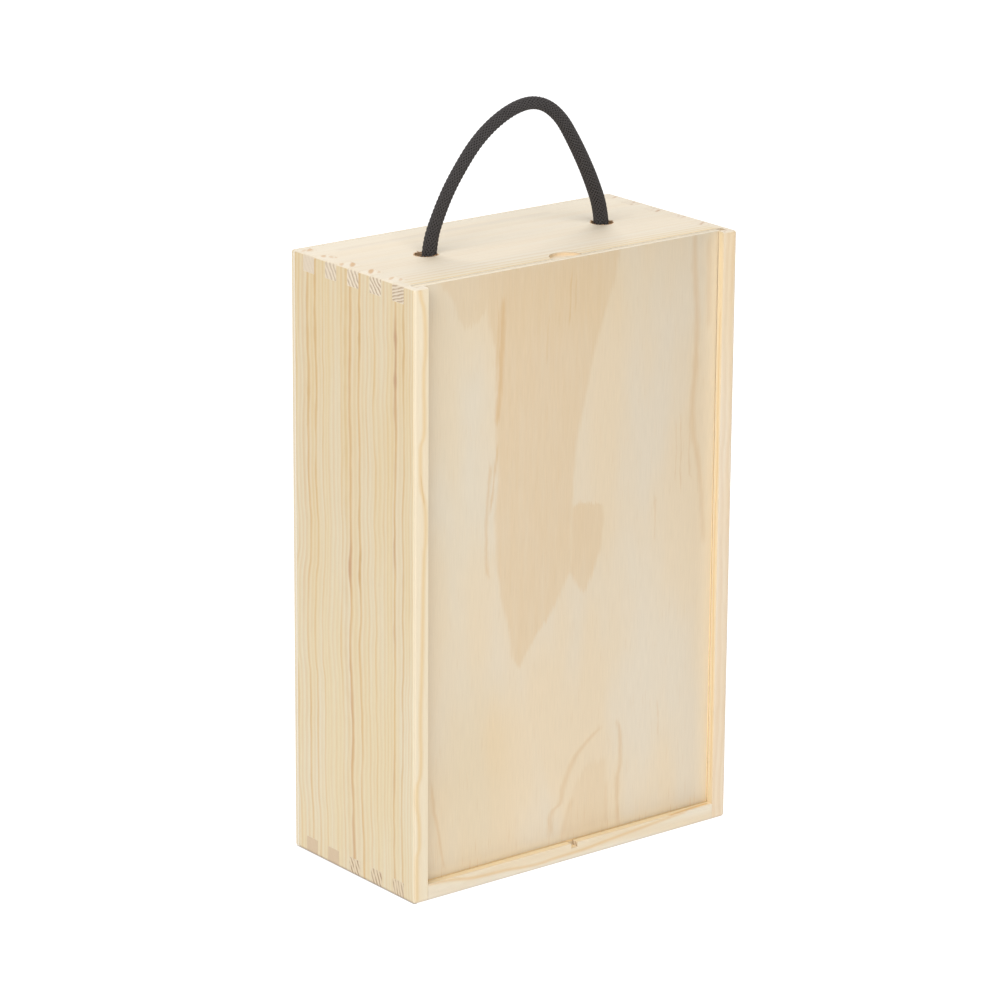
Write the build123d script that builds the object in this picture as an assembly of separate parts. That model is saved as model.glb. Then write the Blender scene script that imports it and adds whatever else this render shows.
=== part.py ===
from build123d import *
import math
import os

# An upright pine box for bottles. Sizes are in millimetres, X runs to the right,
# Y to the back and Z up, and the origin is the middle of the underside.

# The finger-jointed frame and the plywood panel that closes its back
frame_width = 200.0
frame_height = 310.0
frame_depth = 96.5
board_thickness = 8.5
finger_width = 9.0
back_thickness = 3.5
sanded_radius = 1.5  # every outer edge of the glued box is sanded round

# The plywood lid on the front and the grooves that it slides up in
lip_thickness = 4.1  # wood in front of the lid
groove_width = 4.4
side_groove_depth = 4.9
bottom_groove_depth = 4.5
lid_thickness = 3.6
lid_front_play = 0.45
lid_side_play = 1.9
lid_bottom_play = 0.2
lid_rest_shift = -1.5  # the loose lid rests towards the left side
lid_edge_chamfer = 0.4

# Half-round thumb scoop in the top board and small notch in the bottom lip
scoop_radius = 8.9
scoop_depth = 1.8
scoop_shift = -1.1  # left of the middle
notch_width = 4.0
notch_depth = 2.5
notch_shift = 0.7  # right of the middle

# Wire pins with a T-shaped head, which hold the back panel
pin_width = 1.2
pin_thickness = 1.0
pin_length = 16.0
pin_head_width = 2.2
pin_head_depth = 0.6
side_pin_count = 5
end_pin_count = 3
side_pin_margin = 24.0
end_pin_margin = 48.0

# Rope handle, drawn up through two holes and knotted inside
rope_diameter = 6.4
rope_hole_diameter = 11.0
rope_hole_spacing = 110.0
handle_shift = 1.4  # the holes sit this far right of the middle
left_end_shift = 1.4  # the rope's ends lie this far right of their holes' middles
right_end_shift = 0.2
knot_slack = 5.0  # the knots hang this far under the top board
knot_diameter = 17.0
knot_turns = 2
knot_bands = 4  # flat bands that round each turn of a knot
knot_sides = 20  # and flat sides round it
tail_length = 7.0

# Places that follow from the sizes
box_depth = frame_depth + back_thickness
front = -box_depth / 2
frame_back = front + frame_depth
back = box_depth / 2
side = frame_width / 2
inner_side = side - board_thickness
groove_front = front + lip_thickness
groove_back = groove_front + groove_width
groove_bottom_x = inner_side + side_groove_depth
groove_bottom_z = board_thickness - bottom_groove_depth
ceiling = frame_height - board_thickness
finger_pitch = 2 * finger_width
# The last finger of a side board is at least half a finger wide.
finger_count = int((frame_back - groove_back + finger_width / 2) // finger_pitch)
finger_fronts = [groove_back + i * finger_pitch for i in range(finger_count)]
rope_hole_y = (groove_back + frame_back) / 2
rope_hole_x = [handle_shift - rope_hole_spacing / 2, handle_shift + rope_hole_spacing / 2]
rope_x = [rope_hole_x[0] + left_end_shift, rope_hole_x[1] + right_end_shift]
knot_top = ceiling - knot_slack


# A block between two limits on each axis
def block(x_limits, y_limits, z_limits):
    (x0, x1), (y0, y1), (z0, z1) = sorted(x_limits), sorted(y_limits), sorted(z_limits)
    corner_low = (Align.MIN, Align.MIN, Align.MIN)
    return Pos(x0, y0, z0) * Box(x1 - x0, y1 - y0, z1 - z0, align=corner_low)


# The finished box's outer shape, with its sanded edges, cuts each board to size.
def sanded_shape():
    shape = block((-side, side), (front, back), (0, frame_height))
    return fillet(shape.edges(), sanded_radius)


sanded = sanded_shape()


# Pins go in along the middle of each board's rear edge.
def evenly(low, high, count):
    return [low + (high - low) * i / (count - 1) for i in range(count)]


def back_pins():
    pin_x = side - board_thickness / 2
    top_z = frame_height - board_thickness / 2
    spots = []
    for z in evenly(side_pin_margin, frame_height - side_pin_margin, side_pin_count):
        spots += [(-pin_x, z), (pin_x, z)]
    for x in evenly(end_pin_margin - side, side - end_pin_margin, end_pin_count):
        spots += [(x, board_thickness / 2), (x, top_z)]
    half_thickness = (-pin_thickness / 2, pin_thickness / 2)
    shank = block((-pin_width / 2, pin_width / 2), (back - pin_length, back), half_thickness)
    head_x = (-pin_head_width / 2, pin_head_width / 2)
    pin = shank + block(head_x, (back - pin_head_depth, back), half_thickness)
    return [Pos(x, 0, z) * pin for x, z in spots]


pins = back_pins()


# The fingers of the top and bottom boards, and the gaps between them
def end_finger_blocks(x_limits, z_limits):
    return [block(x_limits, (y, y + finger_width), z_limits) for y in finger_fronts]


def end_gap_blocks(x_limits, z_limits, first_gap_front):
    fronts = [first_gap_front] + [y + finger_width for y in finger_fronts]
    backs = finger_fronts + [frame_back]
    return [block(x_limits, (a, b), z_limits) for a, b in zip(fronts, backs) if b > a]


def side_board(sign):
    x_limits = (sign * inner_side, sign * side)
    board = block(x_limits, (front, frame_back), (0, frame_height))
    for z_limits in ((0, board_thickness), (ceiling, frame_height)):
        for finger in end_finger_blocks(x_limits, z_limits):
            board -= finger
    groove_x = (sign * inner_side, sign * groove_bottom_x)
    board -= block(groove_x, (groove_front, groove_back), (0, frame_height))
    for pin in pins:
        board -= pin
    return board & sanded


def rope_hole(x):
    return Pos(x, rope_hole_y, ceiling) * Cylinder(
        rope_hole_diameter / 2, board_thickness, align=(Align.CENTER, Align.CENTER, Align.MIN)
    )


# The top board stops behind the lid, which slides up past its front edge.
def top_board():
    z_limits = (ceiling, frame_height)
    board = block((-side, side), (groove_back, frame_back), z_limits)
    for sign in (-1, 1):
        for gap in end_gap_blocks((sign * inner_side, sign * side), z_limits, groove_back):
            board -= gap
    for x in rope_hole_x:
        board -= rope_hole(x)
    scoop = Cylinder(scoop_radius, scoop_depth, align=(Align.CENTER, Align.CENTER, Align.MAX))
    board -= Pos(scoop_shift, groove_back, frame_height) * scoop
    for pin in pins:
        board -= pin
    return board & sanded


# The bottom board reaches the front, where its groove leaves a low lip before the lid.
def bottom_board():
    z_limits = (0, board_thickness)
    board = block((-side, side), (front, frame_back), z_limits)
    for sign in (-1, 1):
        for gap in end_gap_blocks((sign * inner_side, sign * side), z_limits, front):
            board -= gap
    groove_z = (groove_bottom_z, board_thickness)
    board -= block((-inner_side, inner_side), (groove_front, groove_back), groove_z)
    notch_x = (notch_shift - notch_width / 2, notch_shift + notch_width / 2)
    notch_z = (board_thickness - notch_depth, board_thickness)
    board -= block(notch_x, (front, groove_front), notch_z)
    for pin in pins:
        board -= pin
    return board & sanded


def back_panel():
    panel = block((-side, side), (frame_back, back), (0, frame_height))
    for pin in pins:
        panel -= pin
    return panel & sanded


def sliding_lid():
    reach = groove_bottom_x - lid_side_play
    x_limits = (lid_rest_shift - reach, lid_rest_shift + reach)
    lid_front = groove_front + lid_front_play
    lid_bottom = groove_bottom_z + lid_bottom_play
    lid = block(x_limits, (lid_front, lid_front + lid_thickness), (lid_bottom, frame_height))
    return chamfer(lid.edges(), lid_edge_chamfer)


# The rope's route: out of the left knot, up through its hole, over in an arch that
# leans a little to the front, and down through the right hole to the other knot.
# The arch's points count from the middle of the two holes, in the top face.
arch_points = [
    (-47.5, -1.8, 22.0),
    (-40.5, -3.5, 36.5),
    (-27.5, -6.0, 55.4),
    (-10.3, -8.0, 67.2),
    (6.6, -8.0, 69.6),
    (21.2, -7.0, 60.8),
    (34.0, -4.5, 43.4),
    (46.0, -2.0, 24.0),
]
straight_out = 4.0  # the rope runs straight this far above its holes
arc_share = 0.45  # part of the shorter run that each bend takes up


def rope_route():
    left_x, right_x = rope_x
    leave_z = frame_height + straight_out
    route = [Vector(left_x, rope_hole_y, knot_top), Vector(left_x, rope_hole_y, leave_z)]
    for x, y, z in arch_points:
        route.append(Vector(handle_shift + x, rope_hole_y + y, frame_height + z))
    route += [Vector(right_x, rope_hole_y, leave_z), Vector(right_x, rope_hole_y, knot_top)]
    return route


def bend_radii(route):
    radii = []
    for before, point, after in zip(route, route[1:], route[2:]):
        run_in, run_out = point - before, after - point
        turn = math.radians(run_in.get_angle(run_out))
        shorter = min(run_in.length, run_out.length)
        radii.append(arc_share * shorter / math.tan(turn / 2))
    return radii


def rope_handle():
    route = rope_route()
    radii = bend_radii(route)
    path = FilletPolyline(*route, radius=radii)
    start = Plane(origin=route[0], z_dir=route[1] - route[0])
    rope = sweep(start * Circle(rope_diameter / 2), path=path)
    expected = math.pi * rope_diameter**2 / 4 * path.length
    print("rope length", round(path.length, 1), "bend radii", [round(r, 1) for r in radii])
    print("rope volume over section times length", round(rope.volume / expected, 4))
    return rope


# A stopper knot: turns of the rope round itself, with a short cut tail below.
# Flat faces, in bands down each turn, stand for its soft rounding.
def knot_ring(radius, z):
    angles = [2 * math.pi * i / knot_sides for i in range(knot_sides)]
    return [Vector(radius * math.cos(angle), radius * math.sin(angle), z) for angle in angles]


def knot_rings():
    turn_radius = rope_diameter / 2
    middle_radius = knot_diameter / 2 - turn_radius
    rings = [knot_ring(middle_radius, 0)]
    for turn in range(knot_turns):
        middle_z = -(turn + 0.5) * rope_diameter
        for i in range(1, knot_bands + 1):
            angle = math.pi * (0.5 - i / knot_bands)
            radius = middle_radius + turn_radius * math.cos(angle)
            rings.append(knot_ring(radius, middle_z + turn_radius * math.sin(angle)))
    bottom = -knot_turns * rope_diameter
    rings += [knot_ring(turn_radius, bottom), knot_ring(turn_radius, bottom - tail_length)]
    return rings


def rope_knot(x):
    rings = knot_rings()
    outlines = [rings[0], rings[-1]]
    for upper, lower in zip(rings, rings[1:]):
        for i in range(knot_sides):
            outlines.append([upper[i - 1], upper[i], lower[i], lower[i - 1]])
    faces = [make_face(Polyline(*outline, close=True)) for outline in outlines]
    return Pos(x, rope_hole_y, knot_top) * Solid(Shell(faces))


parts = {
    "left_side_board": side_board(-1),
    "right_side_board": side_board(1),
    "top_board": top_board(),
    "bottom_board": bottom_board(),
    "back_panel": back_panel(),
    "back_panel_pins": Compound(children=pins),
    "sliding_lid": sliding_lid(),
    "rope_handle": rope_handle(),
    "rope_knot_left": rope_knot(rope_x[0]),
    "rope_knot_right": rope_knot(rope_x[1]),
}

os.makedirs("parts", exist_ok=True)
for name, shape in parts.items():
    export_step(shape, "parts/" + name + ".step")
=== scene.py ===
import math
import random
from types import SimpleNamespace

import bmesh
import bpy
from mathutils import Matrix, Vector


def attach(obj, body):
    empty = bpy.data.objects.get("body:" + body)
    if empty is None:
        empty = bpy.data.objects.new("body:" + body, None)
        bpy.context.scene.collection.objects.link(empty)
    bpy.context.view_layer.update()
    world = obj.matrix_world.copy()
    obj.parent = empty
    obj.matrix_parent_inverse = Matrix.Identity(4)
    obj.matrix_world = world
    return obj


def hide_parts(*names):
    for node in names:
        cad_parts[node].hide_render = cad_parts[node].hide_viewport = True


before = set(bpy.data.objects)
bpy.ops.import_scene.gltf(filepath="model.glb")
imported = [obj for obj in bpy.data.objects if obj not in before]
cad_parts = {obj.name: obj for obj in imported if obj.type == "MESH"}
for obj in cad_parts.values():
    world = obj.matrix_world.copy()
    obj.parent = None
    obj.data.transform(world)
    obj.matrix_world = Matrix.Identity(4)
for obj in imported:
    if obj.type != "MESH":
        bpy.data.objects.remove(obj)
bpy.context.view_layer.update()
scene = bpy.context.scene

print("camera and light")

photoCamera = {
    "place": (-1.33201, -1.68414, 0.83734),
    "turn": (72.8888, -0.3497, -38.0455),  # degrees about x, y and z
    "lens": 162.12,
    "sensor": 36.0,
}

camera = bpy.data.objects.new("photoCamera", bpy.data.cameras.new("photoCamera"))
camera.location = photoCamera["place"]
camera.rotation_euler = [math.radians(turn) for turn in photoCamera["turn"]]
camera.data.lens = photoCamera["lens"]
camera.data.sensor_width = photoCamera["sensor"]
camera.data.clip_start, camera.data.clip_end = 0.05, 50
scene.collection.objects.link(camera)
scene.camera = camera

studio = {
    "surround": 0.15,  # brightness of the white tent around the box
    "lights": {  # each soft disk's place, width and power
        "frontLight": ((-1.2, -3.17, 3.6), 3.8, 142.0),
        "leftLight": ((-3.28, -1.05, 2.6), 2.9, 86.0),
        "backLight": ((1.9, 2.5, 3.0), 3.8, 102.0),
    },
    "floorGlow": 1.0,
    "floorSize": 30.0,
    "floorColour": (0.2, 0.2, 0.2, 1),
    # The contact entries paint a shadow on the floor round the box's foot: a darker colour and less glow.
    "contactShadeColour": (0.40, 0.34, 0.31, 1),
    "contactGlow": 0.12,  # share of the floor's glow right under the box
    "contactReach": 0.0021,  # how far the box's shade shows on the floor
    "contactLeft": -0.0970,  # left of this place the shade grows to its full depth
    "foot": (0.0985, 0.0485),  # half the width and depth that the box stands on
    "onFaces": 1.15,  # light that falls on the box's faces, as a share of the light that shows as white
}


def softLight(name, place, size, power):
    lamp = bpy.data.lights.new(name, "AREA")
    lamp.shape, lamp.size, lamp.energy = "DISK", size, power
    light = bpy.data.objects.new(name, lamp)
    light.location = place
    aim = light.location - Vector((0, 0, 0.2))
    light.rotation_euler = aim.to_track_quat("Z", "Y").to_euler()
    scene.collection.objects.link(light)


for lightName, (place, width, power) in studio["lights"].items():
    softLight(lightName, place, width, power)

tent = bpy.data.worlds.new("whiteTent")
tent.use_nodes = True
tent.node_tree.nodes["Background"].inputs["Color"].default_value = (1, 1, 1, 1)
tent.node_tree.nodes["Background"].inputs["Strength"].default_value = studio["surround"]
scene.world = tent
scene.view_settings.view_transform = "Standard"


# Shader helpers, which add nodes to the tree that was begun last
current = SimpleNamespace(tree=None)


def paint(red, green, blue):  # the base colour that shows as this screen colour, 0 to 255, in this light
    shades = []
    for level in (red, green, blue):
        share = level / 255
        linear = share / 12.92 if share < 0.0405 else ((share + 0.055) / 1.055) ** 2.4
        shades.append(linear / studio["onFaces"])
    return (*shades, 1.0)


def feed(socket, value):
    if isinstance(value, bpy.types.NodeSocket):
        current.tree.links.new(value, socket)
    else:
        socket.default_value = value


def addNode(kind, inputs=None, **settings):
    made = current.tree.nodes.new(kind)
    for name, value in settings.items():
        setattr(made, name, value)
    for name, value in (inputs or {}).items():
        feed(made.inputs[name], value)
    return made


def calc(operation, *values):
    made = addNode("ShaderNodeMath", operation=operation)
    for socket, value in zip(made.inputs, values):
        feed(socket, value)
    return made.outputs[0]


def times(first, *others):
    for other in others:
        first = calc("MULTIPLY", first, other)
    return first


def minus(first, second):
    return calc("SUBTRACT", first, second)


def larger(first, second):
    return calc("MAXIMUM", first, second)


def unsigned(value):
    return calc("ABSOLUTE", value)


def scaled(value, scale, shift=0.0):
    return calc("MULTIPLY_ADD", value, scale, shift)


def distance(aside, behind):
    return calc("SQRT", scaled(aside, aside, times(behind, behind)))


def vectorCalc(operation, first, second=None, scale=None):
    inputs = {0: first, 1: second, "Scale": scale}
    inputs = {name: value for name, value in inputs.items() if value is not None}
    return addNode("ShaderNodeVectorMath", inputs, operation=operation).outputs[0]


def apart(vector):
    return addNode("ShaderNodeSeparateXYZ", {0: vector}).outputs


def ease(value, low, high, start=0.0, end=1.0, kind="SMOOTHSTEP"):
    inputs = {"Value": value, "From Min": low, "From Max": high, "To Min": start, "To Max": end}
    return addNode("ShaderNodeMapRange", inputs, interpolation_type=kind).outputs[0]


def blend(share, first, second, kind="MIX"):
    made = addNode("ShaderNodeMix", data_type="RGBA", blend_type=kind)
    for number, value in ((0, share), (6, first), (7, second)):
        feed(made.inputs[number], value)
    return made.outputs[2]


# Noise about 0.5. Each place is counted in waves, or given as (value, scale, shift).
def cloud(x, y, z, detail=2.0, roughness=0.5):
    places = [scaled(*place) if isinstance(place, tuple) else place for place in (x, y, z)]
    spot = addNode("ShaderNodeCombineXYZ", dict(enumerate(places))).outputs[0]
    inputs = {"Vector": spot, "Scale": 1.0, "Detail": detail, "Roughness": roughness}
    return addNode("ShaderNodeTexNoise", inputs).outputs["Fac"]


def drawn(value, points, smooth=False):  # a drawn line: what it gives at each value
    points = sorted(points)
    lows = [min(column) for column in zip(*points)]
    highs = [max(column) for column in zip(*points)]
    spans = [max(high - low, 1e-6) for low, high in zip(lows, highs)]
    share = ease(value, lows[0], highs[0], kind="LINEAR")
    curve = addNode("ShaderNodeFloatCurve", {"Value": share})
    line = curve.mapping.curves[0]
    places = [[(a - low) / span for a, low, span in zip(point, lows, spans)] for point in points]
    for x, y in places[1:-1]:
        line.points.new(x, y)
    for spot, (x, y) in zip(line.points, places):
        spot.location = (x, y)
        spot.handle_type = "AUTO" if smooth else "VECTOR"
    curve.mapping.update()
    return ease(curve.outputs[0], 0.0, 1.0, lows[1], highs[1], kind="LINEAR")


def newMaterial(name):
    made = bpy.data.materials.new(name)
    made.use_nodes = True
    made.node_tree.nodes.clear()
    current.tree = made.node_tree
    shader = addNode("ShaderNodeBsdfPrincipled")
    addNode("ShaderNodeOutputMaterial", {"Surface": shader.outputs[0]})
    return made, shader


def setLook(shader, colour, looks, relief=None, strength=0.0, depth=0.0):
    for name, value in {"Base Color": colour, **looks}.items():
        feed(shader.inputs[name], value)
    if relief is not None:
        inputs = {"Height": relief, "Strength": strength, "Distance": depth}
        feed(shader.inputs["Normal"], addNode("ShaderNodeBump", inputs).outputs[0])


def placeInMillimetres():
    spot = addNode("ShaderNodeTexCoord").outputs
    place = vectorCalc("SCALE", spot["Object"], scale=1000.0)
    return apart(place), apart(spot["Normal"])


def studioFloor():
    floorMaterial, shader = newMaterial("paleFloor")
    spot = apart(addNode("ShaderNodeTexCoord").outputs["Object"])
    foot = studio["foot"]
    # A shadow is painted round the box's foot: a darker colour and less glow near it, deepest on the left
    # side.
    gaps = [larger(minus(unsigned(side), half), 0.0) for side, half in zip(spot, foot)]
    leftSide = ease(spot[0], studio["contactLeft"], -foot[0])
    darkest = ease(leftSide, 0.0, 1.0, 0.5, 0.0)
    clear = ease(distance(*gaps), 0.0, studio["contactReach"], darkest)
    glow = ease(clear, 0.0, 1.0, studio["contactGlow"], 1.0)
    setLook(shader, blend(clear, studio["contactShadeColour"], studio["floorColour"]), {
        "Emission Strength": times(glow, studio["floorGlow"]),
        "Emission Color": (1, 1, 1, 1), "Roughness": 0.9, "Specular IOR Level": 0.0})
    shape = bmesh.new()
    bmesh.ops.create_grid(shape, x_segments=1, y_segments=1, size=studio["floorSize"] / 2)
    sheet = bpy.data.meshes.new("floor")
    shape.to_mesh(sheet)
    shape.free()
    sheet.materials.append(floorMaterial)
    floor = bpy.data.objects.new("floor", sheet)
    scene.collection.objects.link(floor)


studioFloor()

print("pine")

# Each board is sawn from its own log. Its growth lines are listed where they cross its
# broad face, each with its strength and how brown it is, and tilt is how far they slant
# through the board's thickness.
pineLook = {
    "pale": paint(231, 218, 190),
    "creamy": paint(231, 214, 178),
    "line": paint(222, 186, 134),
    "brownLine": paint(206, 164, 122),
    "endPale": paint(236, 222, 198),
    "endDark": paint(222, 205, 182),
    "endLine": paint(178, 150, 122),
    # painted highlight for the sanded upper edges
    "edgeHighlight": paint(248, 234, 210),
    "waveLength": 58.0,
    "waveSize": 2.2,
    "rippleLength": 15.0,
    "rippleSize": 0.8,
    "roughness": 0.62,
    "contrast": 1.0,
    "endUneven": 0.8,
}

leftLines = [
    (-55.5, 0.5, 0), (-52.8, 0.9, 0), (-50.2, 0.3, 0), (-48, 0.45, 0), (-45.8, 0.55, 0),
    (-43.4, 0.35, 0), (-41, 0.75, 0.1), (-37.6, 0.3, 0), (-34.4, 0.95, 0), (-31.4, 0.3, 0),
    (-28.7, 0.5, 0), (-26, 0.5, 0), (-22.3, 0.35, 0.1), (-18.9, 0.65, 0), (-16, 0.3, 0),
    (-13.2, 0.6, 0), (-9.8, 0.35, 0), (-6.5, 0.9, 0.1), (-2.6, 0.3, 0), (1.2, 1, 0.25),
    (5, 0.3, 0.1), (8.5, 0.6, 0), (11.6, 0.3, 0), (14.7, 0.45, 0), (18.8, 0.45, 0),
    (21.2, 0.3, 0), (23.6, 0.65, 0), (26.6, 0.3, 0), (29.7, 0.75, 0), (32.8, 0.35, 0),
    (35.9, 0.85, 0.2), (40, 0.5, 0.2), (43.1, 0.45, 0), (46.2, 0.6, 0), (49, 0.4, 0),
]

# How far the left board's lines wander to the back at four places across, (height, wander)
leftWander = {
    30: [(310, 0.2), (280, 0.5), (262, 0.2), (248, -0.4), (216, 0.5), (204, 0.4), (184, -0.9),
        (168, -1.7), (158, -1.2), (136, 1.4), (114, 1.7), (96, 0), (72, -0.4), (44, -0.2), (24, -1.9),
        (0, -2.3)],
    0: [(310, -0.2), (272, 0.4), (244, 1), (224, 0.3), (190, 0.5), (176, 0.1), (160, 0.8),
        (144, -0.3), (122, 1), (104, 0), (88, -0.6), (66, -1), (54, -0.5), (38, -1.1), (0, -1.8)],
    -18: [(310, 1), (288, 1.4), (270, 0.6), (246, 1.9), (208, 0.1), (190, 1), (174, 0.1),
        (160, 0.6), (136, -0.6), (118, 0), (96, -0.6), (66, -1.5), (50, -1.1), (24, -2.5), (0, -2.7)],
    -34: [(310, -0.1), (272, -0.6), (256, -0.3), (226, -0.8), (188, 0.3), (168, -0.2), (144, 0.2),
        (120, -0.1), (104, 0.5), (80, 0.1), (48, 1), (28, 0.8), (0, -0.4)],
}

# Where single lines of the left board turn brown: the line's number, half its width in
# millimetres, its colour, and how strong it is at each height.
leftStains = [
    (8, 1.8, paint(201, 164, 130), [(310, 0.1), (300, 0.15), (290, 0.6), (280, 0.95), (260, 0.9),
        (250, 0.5), (240, 0.35), (226, 0.3), (200, 0.1), (180, 0.6), (170, 0.4), (160, 0), (140, 0.3),
        (120, 0), (80, 0), (60, 0.35), (40, 0.1), (20, 0.25), (0, 0.2)]),
    (19, 2, paint(206, 166, 128), [(310, 0.2), (300, 0.2), (280, 0.1), (260, 0.3), (240, 0.2), (200, 0.1),
        (176, 0.3), (160, 0.85), (148, 0.2), (138, 0), (120, 0.35), (98, 0.35), (80, 0.6), (60, 0.3),
        (36, 0.35), (20, 0.6), (0, 0.5)]),
    (17, 1.6, paint(208, 172, 122), [(310, 0.1), (296, 0.2), (280, 0.65), (264, 0.1), (240, 0),
        (200, 0.25), (176, 0.35), (160, 0.85), (148, 0.25), (136, 0), (0, 0)]),
    (20, 1.8, paint(218, 188, 140), [(310, 0.5), (220, 0.4), (120, 0.3), (0, 0.2)]),
    (30, 2, paint(214, 178, 126), [(310, 0.1), (290, 0.3), (270, 0.35), (250, 0.3), (238, 0.6),
        (222, 0.2), (200, 0.1), (184, 0), (0, 0)]),
    (28, 1.6, paint(216, 182, 132), [(310, 0.5), (280, 0.6), (240, 0.4), (180, 0.2), (90, 0.1), (0, 0.2)]),
    (6, 1.5, paint(214, 182, 134), [(310, 0.1), (262, 0.55), (248, 0.1), (214, 0.1), (160, 0.3), (0, 0.1)]),
]


def evenLines(low, high, spacing, seed, strength=0.6):  # growth lines of a board that isn't seen so closely
    chance = random.Random(seed)
    lines = []
    place = low
    while place < high:
        lines.append((place, strength * chance.uniform(0.35, 1.0), chance.choice((0, 0, 0, 0.5))))
        place += spacing * chance.uniform(0.6, 1.5)
    return lines


def bumps(strokes):  # a line that is zero but for a soft bump at each (place, strength, width)
    points = []
    for place, strength, width in strokes:
        points += [(place - width, 0.0), (place, strength), (place + width, 0.0)]
    return points


# The sides that are marked, each by its axis, its sign, and the axes along and across it
leftFront, rightInside, lipFront, upper = (1, -1, 2, 0), (0, -1, 2, 1), (1, -1, 0, 2), (2, 1, 0, 1)

# Marks that cross a board's own lines: their side, half their width, strength and colour,
# and their line as (along, across) in millimetres.
leftMarks = [
    (leftFront, 30, 0.85, paint(243, 228, 200), [(320, -95.75), (-10, -95.75)]),
    (leftFront, 2.2, 0.75, paint(234, 204, 154), [(312, -97), (305, -95.9), (296, -93.9), (282, -93.4),
        (267, -94.4), (246, -94), (236, -94.8), (230, -96.3), (217, -96.2), (208, -94.8), (203, -93.8),
        (191, -93.2), (179, -94), (161, -94.6), (136, -95), (114, -95.6), (90, -96.2), (75, -95.9),
        (65, -96.6), (56, -98.3), (45, -97.4), (31, -96.8), (23, -98.2), (0, -98)]),
    (leftFront, 0.7, 0.4, paint(214, 172, 118), [(219, -96.1), (213, -95.4), (208, -94.7), (203, -94.1)]),
]
rightMarks = [
    # painted light, warm in tone, on the right lip's inner face
    (rightInside, 3.4, 0.85, paint(246, 224, 182), [(312, -47.8), (0, -47.8)]),
    (rightInside, 0.7, 0.5, paint(230, 190, 130), [(270, -48.6), (232, -48), (190, -48.5), (150, -47.6),
        (90, -48.2), (20, -48.5)]),
]
bottomMarks = [
    (lipFront, 1.6, 0.6, paint(231, 194, 138), [(-92, 8.6), (-82, 8.1), (-75, 7.3), (-70, 6.4), (-64, 5.5),
        (-55, 4.9), (-45, 4.6), (-30, 3.3), (-21, 2.9), (-14, 3.3), (0, 3.6), (8, 3.8), (15, 4.4),
        (30, 5.5), (44, 6.4), (52, 7), (63, 7.8), (75, 8.6)]),
    # painted light on the bottom lip's top face, against the lid's shade
    (upper, 3.2, 0.85, paint(251, 226, 180), [(-92, -47.4), (92, -47.4)]),
    (upper, 1.6, 0.7, paint(224, 176, 112), [(62, -49.6), (76, -48.4), (91, -47.6)]),
]
topMarks = [
    (upper, 4.2, 0.16, paint(200, 186, 172), [(-84, 34.6), (-20, 34.8), (50, 34)]),
    (upper, 9, 0.3, paint(240, 224, 188), [(-96, -38), (20, -38.5), (96, -40)]),
    (upper, 1.4, 0.8, paint(234, 206, 154), [(-96, -39.6), (-40, -40.2), (30, -40), (96, -40.6)]),
    (upper, 1, 0.75, paint(229, 202, 156), [(-96, -35.6), (-50, -36.4), (-12, -37.4), (40, -37),
        (96, -38)]),
    (upper, 1.1, 0.65, paint(229, 205, 164), [(-96, -31.4), (-50, -32.2), (0, -33.4), (60, -33.8),
        (96, -35)]),
    (upper, 1, 0.5, paint(228, 207, 172), [(-90, -27.2), (-40, -27.8), (20, -29.6), (96, -31)]),
]


# How far a board's growth lines wander to one side on their way along it
def wander(look, along, across, through):
    seed = look["seed"]
    place = (along, 1 / look["rippleLength"], seed)
    ripple = cloud(place, (across, 1 / 11, seed), (through, 1 / 30), 1.0)
    bend = times(minus(ripple, 0.5), 2 * look["rippleSize"])
    if "wander" not in look:
        place = (along, 1 / look["waveLength"], seed)
        wave = cloud(place, (across, 1 / 26, seed), (through, 1 / 60), 1.0)
        return scaled(minus(wave, 0.5), 2 * look["waveSize"], bend)
    places = sorted(look["wander"])
    curves = [drawn(along, look["wander"][place], smooth=True) for place in places]
    whole = curves[0]
    for before, place, low, high in zip(places, places[1:], curves, curves[1:]):
        share = ease(across, before, place, kind="LINEAR")
        whole = scaled(share, minus(high, low), whole)
    return minus(bend, whole)


# Where a point is in its board: along and across the grain, under the broad face, and its
# place among the growth lines
def boardSpot(look):
    axes, facing = placeInMillimetres()
    along, across, through = [axes[axis] for axis in look["axes"]]
    depth = minus(through, look["face"])
    bend = wander(look, along, across, through)
    if "pith" in look:
        pithAcross, pithThrough = look["pith"]
        aside = calc("ADD", minus(across, pithAcross), bend)
        place = distance(aside, minus(through, pithThrough))
    else:
        place = scaled(depth, look["tilt"], calc("ADD", across, bend))
    return SimpleNamespace(axes=axes, facing=facing, along=along, across=across, through=through,
                           depth=depth, place=place)


# The growth lines: where they are, and how they show on a face
def growthLines(look, spot):
    lines, seed = look["lines"], look["seed"]
    ringNumber = drawn(spot.place, [(line[0], number) for number, line in enumerate(lines)])
    strength = drawn(ringNumber, [(number, line[1] ** 1.25) for number, line in enumerate(lines)])
    brown = drawn(ringNumber, [(number, line[2]) for number, line in enumerate(lines)])
    phase = calc("FRACT", ringNumber)
    late = larger(ease(phase, 0.3, 1.0), ease(phase, 0.35, 0.0))

    # They fade and darken along the grain.
    fading = cloud((spot.along, 1 / 45, seed + 7), (spot.across, 1 / 7), 0.0, 1.0)
    fading = ease(fading, 0.2, 0.8, 0.6, 1.3, "LINEAR")
    amount = times(late, strength, fading, look["contrast"])
    dashes = cloud((spot.along, 1 / 28, seed + 3), (spot.across, 1 / 10), 0.0, 1.0)
    browning = times(brown, ease(dashes, 0.3, 0.55, 0.6, 1.0))
    return late, amount, blend(browning, look["line"], look["brownLine"])


def stainedLines(look, spot, colour):
    for number, halfWidth, stainColour, strengths in look.get("stains", ()):
        away = unsigned(minus(spot.place, look["lines"][number][0]))
        blot = cloud((spot.along, 1 / 14, number), look["seed"], 0.0, 1.0)
        blot = ease(blot, 0.3, 0.7, 0.7, 1.25)
        near = ease(away, times(blot, halfWidth), 0.0)
        cover = times(near, drawn(spot.along, strengths, smooth=True), blot)
        colour = blend(cover, colour, stainColour)
    return colour


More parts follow.
